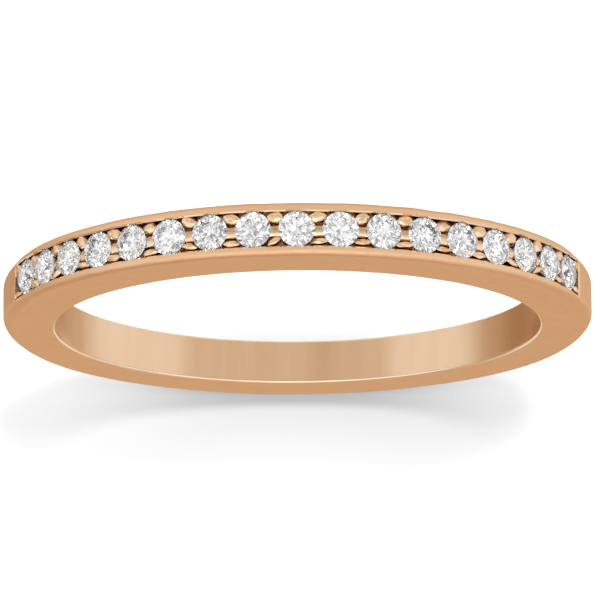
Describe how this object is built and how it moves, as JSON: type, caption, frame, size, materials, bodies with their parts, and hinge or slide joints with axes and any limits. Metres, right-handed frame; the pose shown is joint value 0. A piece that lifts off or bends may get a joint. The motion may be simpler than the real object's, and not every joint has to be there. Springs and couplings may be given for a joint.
{
  "type": "wedding band",
  "caption": "Rose gold half-eternity wedding band: a slim flat-sided shank, thicker at the head, with round diamonds bead-set in a recessed channel over the top.",
  "frame": {"origin": "Centre of the finger hole, midway between the two side faces.", "axes": "+Z points from the finger hole at the middle stone of the head, +Y runs along the finger out of the back side face, +X runs across the ring. The ring stands upright on the middle of its shank."},
  "size_m": [0.021, 0.0018, 0.0218],
  "materials": {
    "rose_gold": "14 ct rose gold, satin sides and bore, polished rims and beads",
    "diamond": "faceted colourless diamond, refractive index 2.42"
  },
  "bodies": {
    "root": {"band": "rose_gold", "stone_01": "diamond", "stone_02": "diamond", "stone_03": "diamond", "stone_04": "diamond", "stone_05": "diamond", "stone_06": "diamond", "stone_07": "diamond", "stone_08": "diamond", "stone_09": "diamond", "stone_10": "diamond", "stone_11": "diamond", "stone_12": "diamond", "stone_13": "diamond", "stone_14": "diamond", "stone_15": "diamond", "stone_16": "diamond", "stone_17": "diamond"}
  },
  "joints": []
}
